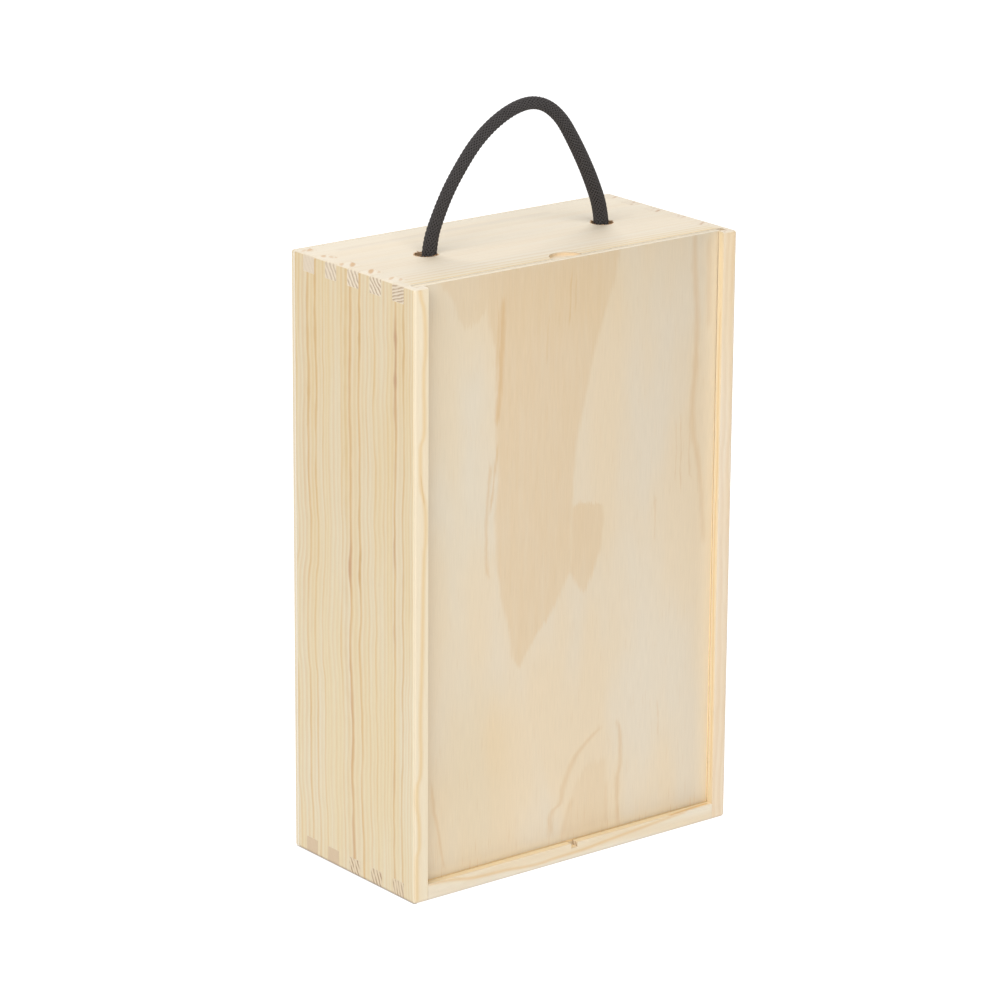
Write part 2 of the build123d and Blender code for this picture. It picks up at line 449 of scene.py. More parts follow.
def markedSides(look, spot, colour):
    for (axis, sign, along, across), halfWidth, strength, markColour, line in look["marks"]:
        onSide = ease(times(spot.facing[axis], sign), 0.25, 0.5)
        run = spot.axes[along]
        low, high = min(line)[0], max(line)[0]
        inside = times(ease(run, low - 1, low + 3), ease(run, high + 1, high - 3))
        away = unsigned(minus(spot.axes[across], drawn(run, line, smooth=True)))
        near = ease(away, halfWidth, 0.0)
        colour = blend(times(near, inside, onSide, strength), colour, markColour)
    return colour


def sawnFace(look, spot, amount, lineColour, fibre):
    seed, along, across, through = look["seed"], spot.along, spot.across, spot.through
    broad = cloud((along, 1 / 120, seed + 1), (across, 1 / 9), (through, 1 / 9), 1.0)
    colour = blend(ease(broad, 0.35, 0.65), look["pale"], look["creamy"])
    colour = stainedLines(look, spot, blend(amount, colour, lineColour))
    if "lightAndTone" in look:  # painted light, with some tone: the colour shifts slowly along one axis, lighter and cooler low on the side boards and lighter towards the rear of the top
        axis, start, stop, firstTone, lastTone = look["lightAndTone"]
        tone = blend(ease(spot.axes[axis], start, stop), firstTone, lastTone)
        colour = blend(1.0, colour, tone, "MULTIPLY")
    colour = markedSides(look, spot, colour)
    # The short dark pores are resin canals.
    pores = cloud((along, 1 / 2.4, seed), (across, 4.0), (through, 4.0), 0.0)
    shade = times(ease(fibre, 0.3, 0.7, 0.965, 1.015, "LINEAR"), ease(pores, 0.74, 0.8, 1.0, 0.93))
    return vectorCalc("SCALE", colour, scale=shade)


# End grain: the cut ends of the same lines, rough from the saw
def endGrain(look, spot, grit):
    seed, across, depth, axes = look["seed"], spot.across, spot.depth, spot.axes
    pale = look["endPale"]
    if "endStrokes" in look:
        strokes = drawn(scaled(depth, -look["endSlant"], across), bumps(look["endStrokes"]))
        inward = unsigned(depth)
        within = times(ease(inward, 1.2, 3.6), ease(inward, 8.6, 6.4))
        patchy = cloud((axes[0], 0.35), (axes[1], 0.3), (axes[2], 0.02), 1.0)
        amount = times(strokes, within, ease(patchy, 0.35, 0.6, 0.2, 1.3))
    else:
        curved = cloud((across, 0.22, seed), (spot.through, 0.3), 0.0, 1.0)
        steepness = drawn(across, look["endSteepness"])
        ring = scaled(depth, steepness, drawn(across, look["endRings"]))
        phase = calc("FRACT", scaled(curved, 0.6, ring))
        thin = larger(ease(phase, look["endThin"], 0.9), ease(phase, 0.22, 0.02))
        uneven = cloud((across, 0.5, seed + 4), (depth, 0.12), 0.0, 1.0)
        amount = times(thin, ease(grit, 0.3, 0.6, 0.92, 1.04, "LINEAR"),
                       ease(uneven, 0.3, 0.6, look["endUneven"], 1.1), drawn(across, look["endFade"]))
        pale = blend(drawn(across, look["endDusk"]), pale, look["endDark"])
    colour = blend(amount, pale, look["endLine"])
    for spotX, spotY, halfX, halfY, lean, strength in look.get("endSpots", ()):
        aside, behind = minus(axes[0], spotX), minus(axes[1], spotY)
        slid = calc("DIVIDE", scaled(aside, lean, behind), halfY)
        away = distance(calc("DIVIDE", aside, halfX), slid)
        away = scaled(minus(grit, 0.5), 0.5, away)
        colour = blend(ease(away, 1.25, 0.45, 0.0, strength), colour, look["endLine"])
    return blend(ease(grit, 0.35, 0.7, 0.0, 0.2), colour, paint(212, 190, 160))


# Painted highlight on the sanded upper edges, and painted shade on the upright ones that tones down their
# light.
def paintedEdgeLight(look, spot, colour):
    steepX, steepY, steepZ = [unsigned(side) for side in spot.facing]
    rounded = ease(larger(larger(steepX, steepY), steepZ), 0.92, 0.76)
    highlightShare = times(rounded, ease(spot.facing[2], 0.2, 0.5), 0.35)
    colour = blend(highlightShare, colour, look["edgeHighlight"])
    edgeShadeShare = times(rounded, ease(steepZ, 0.3, 0.1), 0.9)
    colour = blend(edgeShadeShare, colour, (0.88, 0.87, 0.86, 1), "MULTIPLY")
    # Painted contact shade darkens the lowest millimetre, less on faces towards the front.
    low = times(ease(spot.axes[2], 1.9, 0.3), ease(spot.facing[1], -0.7, 0.0, 0.3, 1.0),
                ease(steepZ, 0.97, 0.8))
    return blend(low, colour, (0.66, 0.62, 0.60, 1), "MULTIPLY")


def scoopAndHoles(look, spot, grit, colour):
    x, y, z = spot.axes
    if "scoop" in look:  # painted light: the scoop's wall and floor are brightened against the shade inside it, the wall warmer for the light bounced within
        scoopX, scoopY, radius, top = look["scoop"]
        away = distance(minus(x, scoopX), minus(y, scoopY))
        inside = times(ease(away, radius + 0.3, radius + 0.1), ease(z, top - 0.1, top - 0.4), 0.95)
        floorShare = ease(spot.facing[2], 0.3, 0.7)
        inner = blend(floorShare, paint(242, 217, 180), paint(240, 222, 194))
        colour = blend(inside, colour, inner)
    for holeX, holeY, radius in look.get("holes", ()):  # the drill leaves the rope holes brown
        away = distance(minus(x, holeX), minus(y, holeY))
        away = scaled(minus(grit, 0.5), 1.6, away)
        rim = ease(away, radius + 0.3, radius, 0.0, 0.85)
        colour = blend(rim, colour, paint(198, 150, 100))
    return colour


def pineBoard(name, board):
    look = {**pineLook, **board}
    wood, shader = newMaterial(name)
    spot = boardSpot(look)
    late, amount, lineColour = growthLines(look, spot)
    fibre = cloud((spot.along, 1 / 9, look["seed"]), (spot.across, 2.6), (spot.through, 2.6), 2.0)
    grit = cloud(*[(axis, 1.9) for axis in spot.axes], 2.0)
    face = sawnFace(look, spot, amount, lineColour, fibre)
    endness = ease(unsigned(spot.facing[look["axes"][0]]), 0.55, 0.75)
    colour = blend(endness, face, endGrain(look, spot, grit))
    colour = scoopAndHoles(look, spot, grit, paintedEdgeLight(look, spot, colour))

    ridges = times(late, scaled(endness, -0.6, 0.6))
    relief = scaled(fibre, scaled(endness, -0.8, 1.0), ridges)
    relief = scaled(grit, scaled(endness, -0.35, 0.5), relief)
    setLook(shader, colour, {"Roughness": look["roughness"], "Specular IOR Level": 0.3},
            relief, 0.35, 0.00012)
    return wood


ropeHoleX = (-53.6, 56.4)
ropeHoleY = 2.5
ropeHoleRadius = 5.5

boards = {  # axes: along and across the grain, and through the board
    "left_side_board": {
        "axes": (2, 1, 0), "face": -100, "tilt": -0.6, "seed": 3, "lines": leftLines,
        "wander": leftWander, "stains": leftStains, "marks": leftMarks, "endSlant": 0.73,
        # painted light: lighter and cooler towards the bottom
        "lightAndTone": (2, 40, 250, (1.03, 1.04, 1.05, 1), (0.98, 0.96, 0.925, 1)),
        "endPale": paint(246, 234, 213), "endLine": paint(218, 172, 118),
        "endStrokes": [(-38, 0.2, 1.2), (-20, 0.15, 1.4), (18, 0.2, 1.2), (36, 0.2, 1.2)],
        # darker places on the upper end: x, y, half its size each way, lean and strength
        "endSpots": [(-93, 43.4, 3.4, 1.7, -0.6, 0.7), (-96.5, 43.6, 2.6, 1.3, -0.6, 0.4),
            (-95.1, 29.6, 2.2, 2.4, -1, 0.65), (-93.4, 25.4, 1.6, 2, -0.8, 0.45),
            (-91.5, 23.6, 1.8, 1.2, -0.6, 0.5), (-97.4, 11.6, 2.4, 2, -1, 0.6),
            (-93.6, 7.6, 4.2, 2.1, -1, 0.85), (-94.4, -8.2, 4, 2.1, -1, 0.85),
            (-92, -11.8, 2.2, 1.3, -0.6, 0.5), (-94.8, -25, 3.2, 1.4, -0.7, 0.6),
            (-92.6, -29.6, 2.6, 1.3, -0.7, 0.55), (-95, -46, 2.4, 0.8, -0.4, 0.3)]},
    "right_side_board": {
        "axes": (2, 1, 0), "face": 100, "tilt": 0.8, "seed": 17, "contrast": 0.7,
        "lines": evenLines(-62, 56, 2.6, 5, 0.5), "marks": rightMarks, "endSlant": 0.6,
        # painted light: lighter and cooler towards the bottom
        "lightAndTone": (2, 285, 180, (1, 1, 1, 1), (1.015, 1.035, 1.11, 1)),
        "pale": paint(241, 223, 194), "creamy": paint(241, 219, 185),
        "endPale": paint(240, 226, 204), "endLine": paint(196, 152, 112),
        "endStrokes": [(-44, 0.3, 1.2), (-26, 0.6, 1.5), (-11, 0.6, 1.5), (-7.5, 0.3, 1.2),
            (8, 0.7, 1.6), (12, 0.3, 1.2), (28, 0.6, 1.5), (24, 0.3, 1.2), (43, 0.5, 1.4)]},
    "top_board": {
        "axes": (0, 1, 2), "face": 310, "pith": (-37, 336), "seed": 31,
        "lines": evenLines(18, 100, 1.45, 8, 0.9), "contrast": 0.3, "marks": topMarks,
        "pale": paint(241, 229, 208), "creamy": paint(242, 228, 205), "line": paint(228, 200, 152),
        # painted light: the tone entry makes the top lighter towards the rear
        "lightAndTone": (1, -10, 40, (1, 1, 1, 1), (1.05, 1.06, 1.07, 1)), "scoop": (-1.1, -41.5, 8.9, 310),
        "endPale": paint(240, 227, 205), "endThin": 0.42,
        # growth rings counted across the end, and how many more there are per millimetre up
        "endRings": [(-50, 0), (-32, 3.7), (-24, 4), (50, 29.5)],
        "endSteepness": [(-50, 0.6), (-32, 0.6), (-24, -0.34), (-14, -0.30), (-5, -0.23), (50, -0.2)],
        "endFade": [(-50, 0.75), (-27, 0.85), (-5, 0.75), (4, 0.65), (12, 0.6), (24, 0.45), (28, 0.1),
            (40, 0.1)],
        "endDusk": [(-50, 0.35), (-33, 0.35), (-25, 0), (5, 0), (20, 0.3), (28, 0.6), (50, 0.7)],
        "holes": [(x, ropeHoleY, ropeHoleRadius) for x in ropeHoleX]},
    "bottom_board": {
        "axes": (0, 1, 2), "face": 0, "pith": (80, -30), "seed": 43,
        "lines": evenLines(20, 150, 1.8, 11, 0.8), "contrast": 0.25, "marks": bottomMarks,
        "pale": paint(240, 228, 206), "creamy": paint(240, 223, 194), "line": paint(228, 196, 144),
        "endPale": paint(234, 217, 187), "endDark": paint(219, 195, 164), "endThin": 0.6, "endUneven": 0.2,
        "endLine": paint(168, 134, 104),
        "endRings": [(-50, 0), (-28, 9.6), (50, 40)],
        "endSteepness": [(-50, -0.12), (-30, -0.14), (-10, -0.2), (50, -0.22)],
        "endFade": [(-50, 0.7), (-30, 0.75), (-5, 0.9), (5, 0.8), (10, 0.05), (40, 0.05)],
        "endDusk": [(-50, 0.2), (-30, 0.1), (8, 0.1), (13, 1), (50, 1)]},
}


def sharpEdges(shape, degrees):
    return [edge for edge in shape.edges
            if len(edge.link_faces) == 2 and edge.calc_face_angle() > math.radians(degrees)]


def boardCopy(nodeName, edgeEase=0.00016):  # the CAD board with its joint edges slightly eased
    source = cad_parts[nodeName]
    shape = bmesh.new()
    shape.from_mesh(source.data)
    bmesh.ops.remove_doubles(shape, verts=shape.verts, dist=1e-6)
    bmesh.ops.dissolve_limit(shape, angle_limit=math.radians(0.3), verts=shape.verts, edges=shape.edges)
    bmesh.ops.bevel(shape, geom=sharpEdges(shape, 35), offset=edgeEase, segments=1, affect="EDGES",
                    clamp_overlap=True, loop_slide=True)
    for face in shape.faces:
        face.smooth = True
    for edge in shape.edges:
        edge.smooth = True
    for edge in sharpEdges(shape, 30):
        edge.smooth = False
    made = bpy.data.meshes.new(nodeName + "Dressed")
    shape.to_mesh(made)
    shape.free()
    piece = bpy.data.objects.new(nodeName + "_dressed", made)
    scene.collection.objects.link(piece)
    return piece


def dressBoard(nodeName, material, body):
    piece = boardCopy(nodeName)
    piece.data.materials.append(material)
    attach(piece, body)
    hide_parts(nodeName)


for nodeName, board in boards.items():
    dressBoard(nodeName, pineBoard(nodeName + "Pine", board), "box")


print("plywood")

# The sheets' outer veneers, and what is drawn in them. Patches are given by their strength
# and the lines of their left and right edges, (height, place across) in millimetres, and
# streaks by their width, strength and line.
lidSheet = {
    "front": -45.45, "back": -41.85, "seed": 5,
    "pale": paint(226, 212, 189),
    "warm": paint(229, 210, 180),
    "patch": paint(223, 199, 164),
    "streak": paint(214, 178, 130),
    # the lid's tone across it, a little darker over its left half, partly the veneer's tone and partly
    # painted shade from the left lip, and painted light up it, brighter towards the bottom, as (place, share
    # of its colour)
    "lightAndTone": [(-95, 1), (-84, 0.975), (-60, 0.97), (-30, 0.98), (10, 0.99), (60, 1), (95, 1)],
    "lightUp": [(0, 1.13), (30, 1.11), (60, 1.075), (150, 1.03), (270, 1), (290, 0.985), (311, 0.955)],
    # broad places of another tone: x, z, half the width and height, and the share of the colour that stays
    "tints": [(-62, 52, 27, 62, (0.98, 0.94, 0.85, 1)), (66, 100, 44, 108, (1.03, 1.04, 1.055, 1)),
              (-72, 210, 22, 120, (0.975, 1, 1.025, 1)), (10, 290, 60, 24, (1, 0.985, 0.95, 1))],
    # painted light on the lid beside the right lip and the bottom lip
    "rim": paint(245, 230, 202),  # beside the right lip and the bottom lip
    # painted light in the narrow gaps behind the right lip and the bottom lip, which lifts their shade:
    # between which places, and their tone
    "slotLight": ((91.15, 92.6, (1.8, 1.7, 1.4, 1)), (7.8, 8.9, (1.22, 1.10, 0.84, 1))),
    "patches": [
        (0.7, [(311, -83), (299.8, -73.5), (290.9, -70.2), (284.9, -65.7)],
         [(311, -48), (291, -54), (287, -59), (284.9, -65.7)]),
        (0.9, [(311, -52), (291, -53.4), (284.2, -51.9), (273.1, -48), (262, -45.7), (235.3, -47.3),
            (206.4, -45.7), (188.7, -48), (168.7, -46.9), (146.4, -44), (128.7, -38.6), (113.1, -36.4),
            (107.5, -32)],
         [(311, 29), (295.3, 25.8), (279.8, 19.8), (257.5, 12.5), (235.3, 7.6), (219.8, 3.6), (202, 1.4),
            (188.7, 0.5), (170, 0.5), (150.9, -0.2), (144.2, -4.6), (135.3, -9.1), (128.7, -14.6),
            (122, -21.3), (113.1, -28), (107.5, -32)]),
        (0.95, [(185.3, 5.4), (184.2, 0.5), (150.9, -0.6), (144, 3), (137.5, 8.7)],
         [(185.3, 6), (182, 19.4), (175.3, 20.5), (159.8, 18.7), (148.7, 14.7), (137.5, 8.7)]),
        (0.55, [(47, 12), (37.5, 4.2), (26.4, 0.9), (2, -3)],
         [(47, 24), (33, 24), (2, 23)]),
    ],
    "streaks": [
        (1.5, 0.75, [(296, -43.2), (262, -44.6), (235, -46.6)]),
        (0.7, 0.4, [(290, -46), (250, -47.3)]),
        (0.7, 0.6, [(223, -46.5), (206, -48.4), (190, -50.8)]),
        (1, 0.5, [(214, -50.2), (190, -52.6), (172, -53), (158, -51.5)]),
        (0.6, 0.6, [(303, -1.3), (278, -2.4)]),
        (0.4, 0.4, [(300, 1.6), (284, 1.2)]),
        (0.6, 0.3, [(282, -15.5), (260, -16.5)]),
        (1.7, 0.45, [(311, 76.2), (291, 77.1), (268.7, 78.7), (239.8, 78.3), (224.2, 76.9), (212, 77.4),
            (200, 79.8), (188.7, 82.2), (175.3, 84), (150, 86)]),
        (0.6, 0.4, [(224, 76.6), (200, 75.4), (186, 76.8)]),
        (1.8, 0.45, [(308, 86), (262, 86.8)]),
        (0.4, 0.4, [(219, 69.5), (180, 70.2)]),
        (0.4, 0.35, [(216, 66.4), (186, 66.9)]),
        (0.5, 0.35, [(180, 53.4), (158, 54)]),
        (1.9, 0.45, [(14, -11.3), (26.4, -10.2), (29.8, -5.3), (37.5, -3.5), (50.9, 3.1), (57.5, 9.8),
            (64.4, 20)]),
        (1.3, 0.5, [(64.8, 31), (55.3, 33.1), (44.2, 33.6), (33.1, 31.6), (8, 33.4)]),
        (1.6, 0.32, [(30, 2), (22, -1), (10, -3.5)]),
        (1.2, 0.3, [(34, 25), (20, 24.4), (10, 25)]),
        (1, 0.45, [(57.5, -85.9), (46.4, -84.8), (35.3, -82.4), (24.2, -80.4), (12, -78)]),
        (0.5, 0.35, [(70, 57.6), (52, 58.2)]),
    ],
}

backSheet = {
    "front": 46.5, "back": 50, "seed": 19,
    "pale": paint(231, 218, 194),
    "warm": paint(235, 216, 184),
    "patch": paint(228, 198, 158),
    "streak": paint(204, 162, 116),
    "patches": [
        (0.7, [(311, 22), (250, 30), (190, 41), (150, 48), (118, 57)],
         [(311, 84), (240, 80), (170, 72), (118, 57)]),
        (0.6, [(96, -66), (70, -58), (30, -52), (-1, -50)],
         [(96, -66), (70, -41), (30, -28), (-1, -20)]),
    ],
    "streaks": [
        (1.1, 0.45, [(305, -46), (220, -41), (140, -44), (60, -38)]),
        (0.8, 0.35, [(250, -12), (180, -8), (96, -11)]),
        (1, 0.6, [(311, 20), (250, 28), (190, 39), (150, 46)]),
        (0.9, 0.4, [(110, 14), (60, 20), (-1, 18)]),
    ],
}


def insideBand(value, low, high, softness):
    above = ease(minus(value, low), -softness, softness)
    below = ease(minus(high, value), -softness, softness)
    return times(above, below)


def veneerFigure(sheet, x, z):
    seed = sheet["seed"]
    ragged = cloud((x, 0.55, seed), (z, 1 / 13, seed), 0.0, 3.0, 0.65)
    acrossGrain = scaled(minus(ragged, 0.5), 3.4, x)
    frayed = cloud((x, 1.6, seed), (z, 1 / 30, seed), 0.0, 1.0)
    alongGrain = scaled(minus(frayed, 0.5), 9.0, z)
    broad = cloud((x, 1 / 34, seed), (z, 1 / 120, seed), 0.0, 2.0)
    colour = blend(ease(broad, 0.35, 0.65), sheet["pale"], sheet["warm"])

    covered = 0.0
    for strength, leftEdge, rightEdge in sheet["patches"]:
        left, right = drawn(alongGrain, leftEdge), drawn(alongGrain, rightEdge)
        inside = times(insideBand(acrossGrain, left, right, 1.6),
                       insideBand(alongGrain, min(leftEdge)[0], max(leftEdge)[0], 2.0), strength)
        covered = larger(covered, inside)
    mottle = cloud((x, 0.3, seed), (z, 1 / 40, seed), 0.0, 2.0)
    colour = blend(times(covered, ease(mottle, 0.2, 0.7, 0.7, 1.0)), colour, sheet["patch"])

    marked = 0.0
    for width, strength, line in sheet["streaks"]:
        away = unsigned(minus(acrossGrain, drawn(z, line, smooth=True)))
        inside = insideBand(alongGrain, min(line)[0], max(line)[0], 3.0)
        marked = larger(marked, times(ease(away, 1.8 * width, 0.0), inside, strength))
    return blend(times(marked, 0.85), colour, sheet["streak"])


# The lid's tints, and painted light beside the lips and in the gaps behind them
def lidTintsAndLight(sheet, x, z, colour):
    for spotX, spotZ, halfWidth, halfHeight, tone in sheet["tints"]:
        away = distance(calc("DIVIDE", minus(x, spotX), halfWidth),
                        calc("DIVIDE", minus(z, spotZ), halfHeight))
        colour = blend(ease(away, 1.4, 0.2), colour, tone, "MULTIPLY")
    # Painted light on the lid beside the right lip and the bottom lip
    rim = larger(ease(x, 80.0, 91.0, 0.0, 0.6), ease(z, 15.0, 9.5, 0.0, 0.4))
    colour = blend(rim, colour, sheet["rim"])
    # Painted light in the gaps behind the lips, stronger lower down in the right one
    slotLightShare = ease(z, 290.0, 100.0, 0.2, 0.85)
    for across, share, (start, stop, tone) in zip((x, z), (slotLightShare, 1.0), sheet["slotLight"]):
        band = times(insideBand(across, start, stop, 0.3), share)
        colour = blend(band, colour, tone, "MULTIPLY")
    return colour


# Three plies on the edges: the middle one runs across and is darker
def plyEdge(sheet, x, y, z):
    fromMiddle = unsigned(minus(y, (sheet["front"] + sheet["back"]) / 2))
    core = ease(fromMiddle, 0.75, 0.5)
    glue = minus(ease(fromMiddle, 0.8, 0.6), core)
    speck = cloud((x, 1.4), (y, 3.0), (z, 1.4, sheet["seed"]), 2.0)
    edge = blend(core, paint(244, 234, 214), paint(238, 220, 188))
    edge = blend(times(glue, 0.35), edge, paint(200, 168, 126))
    return blend(ease(speck, 0.45, 0.75, 0.0, 0.35), edge, paint(206, 180, 142))


def plywood(name, sheet):
    ply, shader = newMaterial(name)
    (x, y, z), facing = placeInMillimetres()
    seed = sheet["seed"]
    colour = veneerFigure(sheet, x, z)

    # Fine vertical fibres, and short strokes of the pores that the knife cut open
    fibre = cloud((x, 2.2, seed), (z, 1 / 11, seed), (y, 2.0), 2.0)
    stroke = cloud((x, 1.1, seed), (z, 1 / 16, seed), 0.0, 1.0)
    strokes = times(ease(stroke, 0.62, 0.74), ease(z, 26.0, 4.0, 0.12, 0.87))
    colour = blend(strokes, colour, sheet["streak"])
    shade = ease(fibre, 0.28, 0.72, 0.965, 1.02, "LINEAR")
    # Painted light and shade on the lid: darker over its left half, brighter towards the bottom, lighter
    # beside the lips.
    if "lightAndTone" in sheet:
        shade = times(shade, drawn(x, sheet["lightAndTone"], smooth=True),
                      drawn(z, sheet["lightUp"], smooth=True))
        colour = lidTintsAndLight(sheet, x, z, colour)
    face = vectorCalc("SCALE", colour, scale=shade)
    onEdge = ease(unsigned(facing[1]), 0.85, 0.4)
    colour = blend(onEdge, face, plyEdge(sheet, x, y, z))
    setLook(shader, colour, {"Roughness": 0.58, "Specular IOR Level": 0.3},
            minus(fibre, strokes), 0.3, 0.0001)
    return ply


dressBoard("sliding_lid", plywood("lidPlywood", lidSheet), "lid")
dressBoard("back_panel", plywood("backPlywood", backSheet), "box")


def pinSteel():
    steel, shader = newMaterial("pinSteel")
    x, y, z = placeInMillimetres()[0]
    rub = cloud((x, 3.0), (y, 0.6), (z, 3.0), 3.0)
    setLook(shader, blend(rub, paint(150, 148, 144), paint(196, 194, 190)), {
        "Roughness": ease(rub, 0.3, 0.7, 0.28, 0.5), "Metallic": 1.0})
    return steel


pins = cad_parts["back_panel_pins"]
pins.data.materials.clear()
pins.data.materials.append(pinSteel())

print("rope")

boxTop = 0.310
ropeDiameter = 0.0064
ropeY = 0.0025

# The handle's route in metres, from knot to knot
ropeRoute = [
    (-0.0522, 0.0025, 0.2965),
    (-0.0522, 0.0025, 0.3140),
    (-0.0461, 0.0007, 0.3320),
    (-0.0391, -0.0010, 0.3465),
    (-0.0261, -0.0035, 0.3654),
    (-0.0089, -0.0055, 0.3772),
    (0.0080, -0.0055, 0.3796),
    (0.0226, -0.0045, 0.3708),
    (0.0354, -0.0020, 0.3534),
    (0.0474, 0.0005, 0.3340),
    (0.0566, 0.0025, 0.3140),
    (0.0566, 0.0025, 0.2965),
]

braid = {
    "Rope radius": 0.0029,
    "Braid lead": 0.027,  # length in which a strand goes once round
    "Strands each way": 12,
    "Strand width": 0.0015,
    "Strand thickness": 0.0007,
    "Weave depth": 0.00012,
    "Step": 0.0007,
}
# The soft cord is thicker where it is pressed: (share of its length, times as thick)
ropeSwelling = [(0.0, 1.1), (0.06, 1.15), (0.1, 1.1), (0.16, 1.03), (0.25, 1.0), (0.52, 1.0), (0.58, 1.04),
                (0.66, 1.1), (0.75, 1.15), (0.92, 1.19), (1.0, 1.1)]


def ropeFibre():
    fibre, shader = newMaterial("blackCord")
    lengthwise, crosswise, strand = [
        addNode("ShaderNodeAttribute", attribute_name=title).outputs["Fac"]
        for title in ("alongStrand", "acrossStrand", "strandNumber")]
    lay = scaled(lengthwise, 900.0, times(crosswise, 3.0))
    thread = cloud((crosswise, 9.0), (lengthwise, 420.0), strand, 2.0)
    twist = cloud(lay, strand, 0.0, 2.0)
    fluff = scaled(twist, 0.5, times(thread, 0.5))
    setLook(shader, blend(ease(fluff, 0.3, 0.7), paint(66, 63, 62), paint(79, 76, 76)), {
        "Roughness": 0.85, "Specular IOR Level": 0.18, "Sheen Weight": 0.25, "Sheen Roughness": 0.5,
        "Sheen Tint": paint(205, 195, 188)}, fluff, 0.5, 0.00012)
    return fibre


blackCord = ropeFibre()


# Geometry Nodes helpers, used like those of the shaders
def newTree(name, sizes):
    tree = bpy.data.node_groups.new(name, "GeometryNodeTree")
    tree.interface.new_socket("Geometry", in_out="INPUT", socket_type="NodeSocketGeometry")
    for title, size in sizes.items():
        kind = "NodeSocketInt" if isinstance(size, int) else "NodeSocketFloat"
        tree.interface.new_socket(title, in_out="INPUT", socket_type=kind)
    tree.interface.new_socket("Geometry", in_out="OUTPUT", socket_type="NodeSocketGeometry")
    current.tree = tree
    return tree, addNode("NodeGroupInput").outputs, addNode("NodeGroupOutput")


def grow(kind, inputs, **settings):
    return addNode("GeometryNode" + kind, inputs, **settings).outputs[0]


def keep(geometry, title, value):  # stores a named attribute on the points
    inputs = {"Geometry": geometry, "Name": title, "Value": value}
    return grow("StoreNamedAttribute", inputs, data_type="FLOAT", domain="POINT")


def finishTree(output, geometry, material):
    whole = grow("RealizeInstances", {"Geometry": geometry})
    feed(output.inputs[0], grow("SetMaterial", {"Geometry": whole, "Material": material}))


# A strand's section is flat, with three yarns side by side.
def strandSection(given, halfThick):
    ring = grow("CurvePrimitiveCircle", {"Resolution": 8, "Radius": 1.0})
    place = apart(addNode("GeometryNodeInputPosition").outputs[0])
    yarn = unsigned(calc("COSINE", times(place[0], 1.5 * math.pi)))
    rounded = times(place[1], scaled(yarn, 0.3, 0.75))
    shaped = addNode("ShaderNodeCombineXYZ", {
        0: times(place[0], given["Strand width"], 0.5), 1: times(rounded, halfThick)}).outputs[0]
    ring = keep(ring, "acrossStrand", place[0])
    return grow("SetPosition", {"Geometry": ring, "Position": shaped})


def ropeCore(given, line, swelling):
    radius = minus(minus(given["Rope radius"], given["Strand thickness"]), given["Weave depth"])
    line = grow("ResampleCurve", {"Curve": line, "Length": 0.001}, mode="LENGTH")
    share = addNode("GeometryNodeSplineParameter").outputs["Factor"]
    ring = grow("CurvePrimitiveCircle", {"Resolution": 16, "Radius": radius})
    return grow("CurveToMesh", {
        "Curve": line, "Profile Curve": ring, "Scale": drawn(share, swelling, smooth=True),
        "Fill Caps": True})


def braidTree(name, material, swelling):
    tree, given, output = newTree(name, braid)
    line = grow("MeshToCurve", {0: given["Geometry"]})
    line = grow("ResampleCurve", {"Curve": line, "Length": given["Step"]}, mode="LENGTH")

    held = addNode("GeometryNodeCaptureAttribute")
    parameter = addNode("GeometryNodeSplineParameter").outputs
    normal = addNode("GeometryNodeInputNormal").outputs[0]
    tangent = addNode("GeometryNodeInputTangent").outputs[0]
    thick = drawn(parameter["Factor"], swelling, smooth=True)
    for kind, title, value in (("VECTOR", "outward", normal), ("VECTOR", "onward", tangent),
                               ("FLOAT", "run", parameter["Length"]), ("FLOAT", "share", thick)):
        held.capture_items.new(kind, title)
        feed(held.inputs[title], value)
    feed(held.inputs["Geometry"], line)
    outward, onward, run, swollen = [held.outputs[title] for title in ("outward", "onward", "run", "share")]

    # Even strands go round one way and odd ones the other, each over two and under two.
    eachWay, weave = given["Strands each way"], given["Weave depth"]
    copies = addNode("GeometryNodeDuplicateElements", {
        "Geometry": held.outputs["Geometry"], "Amount": times(eachWay, 2.0)}, domain="SPLINE").outputs
    number = copies["Duplicate Index"]
    way = scaled(calc("MODULO", number, 2.0), -2.0, 1.0)
    place = calc("FLOOR", times(number, 0.5))
    turns = calc("DIVIDE", run, given["Braid lead"])
    angle = times(scaled(turns, way, calc("DIVIDE", place, eachWay)), math.tau)
    beat = scaled(times(turns, eachWay, 2.0), way, times(place, 2.0))
    over = calc("COSINE", times(minus(beat, 0.5), math.pi / 2))
    halfThick = times(given["Strand thickness"], 0.5)
    inner = minus(minus(times(given["Rope radius"], swollen), halfThick), weave)
    reach = scaled(times(over, way), weave, inner)

    sideways = vectorCalc("CROSS_PRODUCT", onward, outward)
    radial = vectorCalc("ADD", vectorCalc("SCALE", outward, scale=calc("COSINE", angle)),
                        vectorCalc("SCALE", sideways, scale=calc("SINE", angle)))
    offset = vectorCalc("SCALE", radial, scale=reach)
    strands = grow("SetPosition", {"Geometry": copies["Geometry"], "Offset": offset})
    strands = grow("SetCurveNormal", {"Curve": strands, "Normal": radial}, mode="FREE")
    strands = keep(keep(strands, "strandNumber", number), "alongStrand", run)
    cover = grow("CurveToMesh", {
        "Curve": strands, "Profile Curve": strandSection(given, halfThick), "Fill Caps": True})

    both = addNode("GeometryNodeJoinGeometry")
    feed(both.inputs[0], ropeCore(given, line, swelling))
    feed(both.inputs[0], cover)
    finishTree(output, grow("SetShadeSmooth", {"Geometry": both.outputs[0]}), material)
    return tree


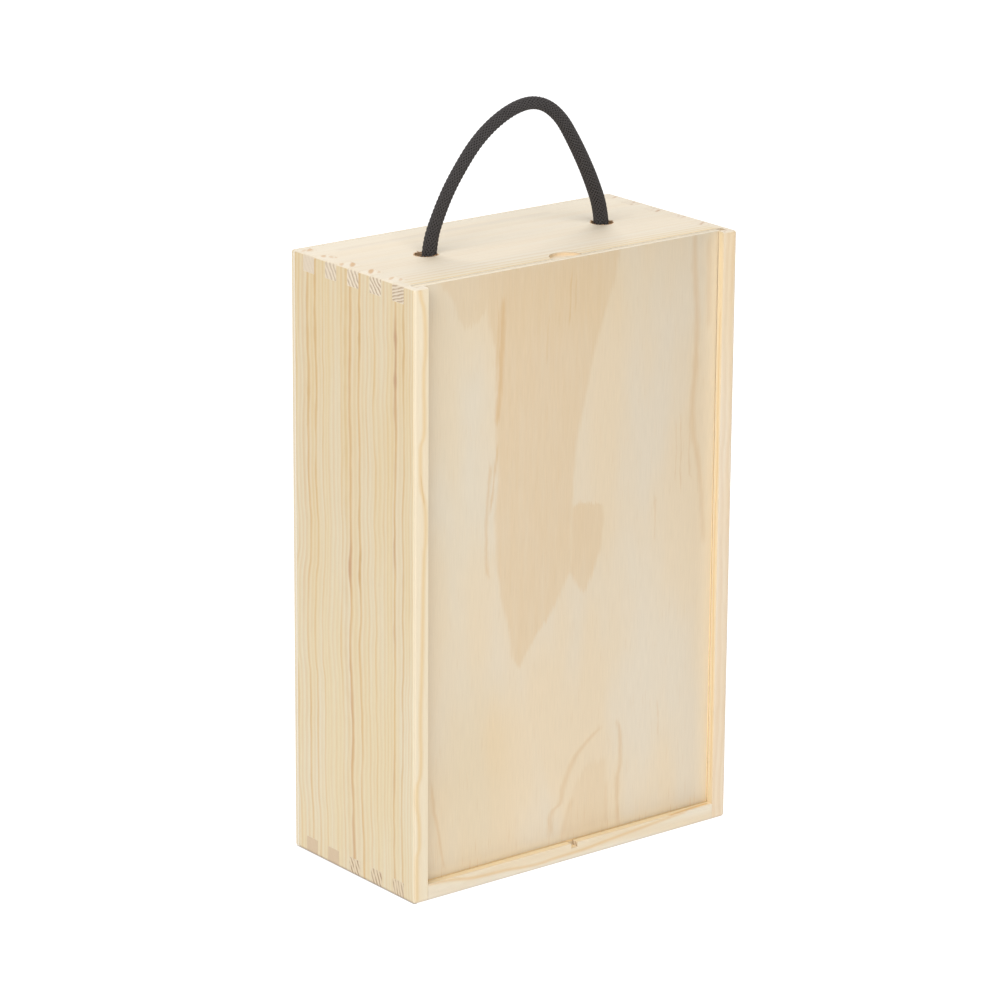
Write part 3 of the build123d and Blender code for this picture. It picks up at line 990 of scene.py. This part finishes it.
def splinePoints(name, route):  # the points of a smooth line through the route's control points
    curve = bpy.data.curves.new(name, "CURVE")
    curve.dimensions = "3D"
    spline = curve.splines.new("NURBS")
    spline.points.add(len(route) - 1)
    for point, place in zip(spline.points, route):
        point.co = (*place, 1.0)
    spline.order_u = 3
    spline.use_endpoint_u = True
    spline.resolution_u = 16
    holder = bpy.data.objects.new(name, curve)
    scene.collection.objects.link(holder)
    bpy.context.view_layer.update()
    line = bpy.data.meshes.new_from_object(holder)
    points = [vertex.co.copy() for vertex in line.vertices]
    bpy.data.objects.remove(holder)
    return points, line


def grown(name, seedMesh, tree, sizes):  # runs a tree on a mesh and gives the result as a plain object
    source = bpy.data.objects.new(name + "Source", seedMesh)
    scene.collection.objects.link(source)
    modifier = source.modifiers.new(tree.name, "NODES")
    modifier.node_group = tree
    for item in tree.interface.items_tree:
        if item.in_out == "INPUT" and item.name in sizes:
            modifier[item.identifier] = sizes[item.name]
    bpy.context.view_layer.update()
    evaluated = source.evaluated_get(bpy.context.evaluated_depsgraph_get())
    made = bpy.data.meshes.new_from_object(evaluated)
    source.modifiers.clear()
    bpy.data.objects.remove(source)
    piece = bpy.data.objects.new(name, made)
    scene.collection.objects.link(piece)
    return piece


ropeTree = braidTree("ropeBraid", blackCord, ropeSwelling)
knotTree = braidTree("knotBraid", blackCord, [(0.0, 1.0), (1.0, 1.0)])
ropePath, ropeLine = splinePoints("ropeRoute", ropeRoute)
rope = grown("rope_handle_braided", ropeLine, ropeTree, braid)

knotShape = {
    "top": 0.2965,
    "wrapRadius": 0.005,
    "pitch": 0.0064,  # how far each wrap lies under the one above
    "wraps": 2,
    "pointsPerWrap": 12,
    "tail": 0.0065,
}


def knotRoute(x):  # down the middle, twice round, and a short tail below
    top, radius, pitch, wraps, perWrap, tail = knotShape.values()
    route = [(x, ropeY, top), (x, ropeY, top - 0.0020), (x + 0.0004, ropeY, top - 0.0036)]
    count = wraps * perWrap
    for number in range(count + 1):
        angle = math.tau * number / perWrap
        drop = pitch * (0.54 + (wraps - 1.04) * number / count)
        route.append((x + radius * math.cos(angle), ropeY + radius * math.sin(angle), top - drop))
    foot = top - wraps * pitch
    return route + [(x + 0.001, ropeY, foot + 0.0005), (x, ropeY, foot - 0.002), (x, ropeY, foot - tail)]


knotSizes = {**braid, "Rope radius": ropeDiameter / 2}
for side, x in (("left", ropeRoute[0][0]), ("right", ropeRoute[-1][0])):
    knotLine = splinePoints(side + "KnotRoute", knotRoute(x))[1]
    knot = grown("rope_knot_" + side + "_braided", knotLine, knotTree, knotSizes)
    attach(knot, "handle")
    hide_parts("rope_knot_" + side)

# The drill tore the rims of the rope holes, so short splinters stand round them.
splinters = {
    "Rim radius": 0.0054,
    "Splinters": 34,
    "Length": 0.0009,
    "Thickness": 0.00022,
    "Seed": 4,
}


def splinterWood():
    wood, shader = newMaterial("tornPine")
    places = [(axis, 2.0) for axis in placeInMillimetres()[0]]
    grain = ease(cloud(*places, 2.0), 0.35, 0.65)
    setLook(shader, blend(grain, paint(176, 124, 78), paint(222, 184, 136)), {"Roughness": 0.7})
    return wood


def randomly(low, high, seed, kind="FLOAT"):
    made = addNode("FunctionNodeRandomValue", {"Seed": seed}, data_type=kind)
    first = 0 if kind == "FLOAT_VECTOR" else 2
    feed(made.inputs[first], low)
    feed(made.inputs[first + 1], high)
    return made.outputs[0 if kind == "FLOAT_VECTOR" else 1]


def splinterTree(name, material):
    tree, given, output = newTree(name, splinters)
    seed = given["Seed"]
    ring = grow("MeshCircle", {"Vertices": given["Splinters"], "Radius": given["Rim radius"]})
    jitter = randomly((-0.0004, -0.0004, -0.0001), (0.0004, 0.0004, 0.0001), seed, "FLOAT_VECTOR")
    ring = grow("SetPosition", {"Geometry": ring, "Offset": jitter})
    sliver = grow("MeshCone", {
        "Vertices": 5, "Radius Top": 0.00003, "Radius Bottom": given["Thickness"], "Depth": given["Length"]})
    # Each lies along the rim's tangent or leans outward and up.
    spot = apart(addNode("GeometryNodeInputPosition").outputs[0])
    heading = calc("ADD", calc("ARCTAN2", spot[1], spot[0]),
                   randomly(-1.2, 1.2, calc("ADD", seed, 1)))
    lean = randomly(0.9, 1.5, calc("ADD", seed, 2))
    turn = addNode("ShaderNodeCombineXYZ", {1: lean, 2: heading}).outputs[0]
    size = randomly(0.5, 1.3, calc("ADD", seed, 3))
    placed = grow("InstanceOnPoints", {"Points": ring, "Instance": sliver, "Rotation": turn, "Scale": size})
    finishTree(output, placed, material)
    return tree


tornPine = splinterWood()
rimTree = splinterTree("holeSplinters", tornPine)
for number, holeX in enumerate(ropeHoleX):
    sizes = {**splinters, "Seed": splinters["Seed"] + 5 * number}
    chips = grown("hole_splinters_" + str(number + 1), bpy.data.meshes.new("holeRim"), rimTree, sizes)
    for vertex in chips.data.vertices:
        vertex.co += Vector((holeX / 1000, ropeHoleY / 1000, boxTop))
    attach(chips, "box")

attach(rope, "handle")
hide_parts("rope_handle")
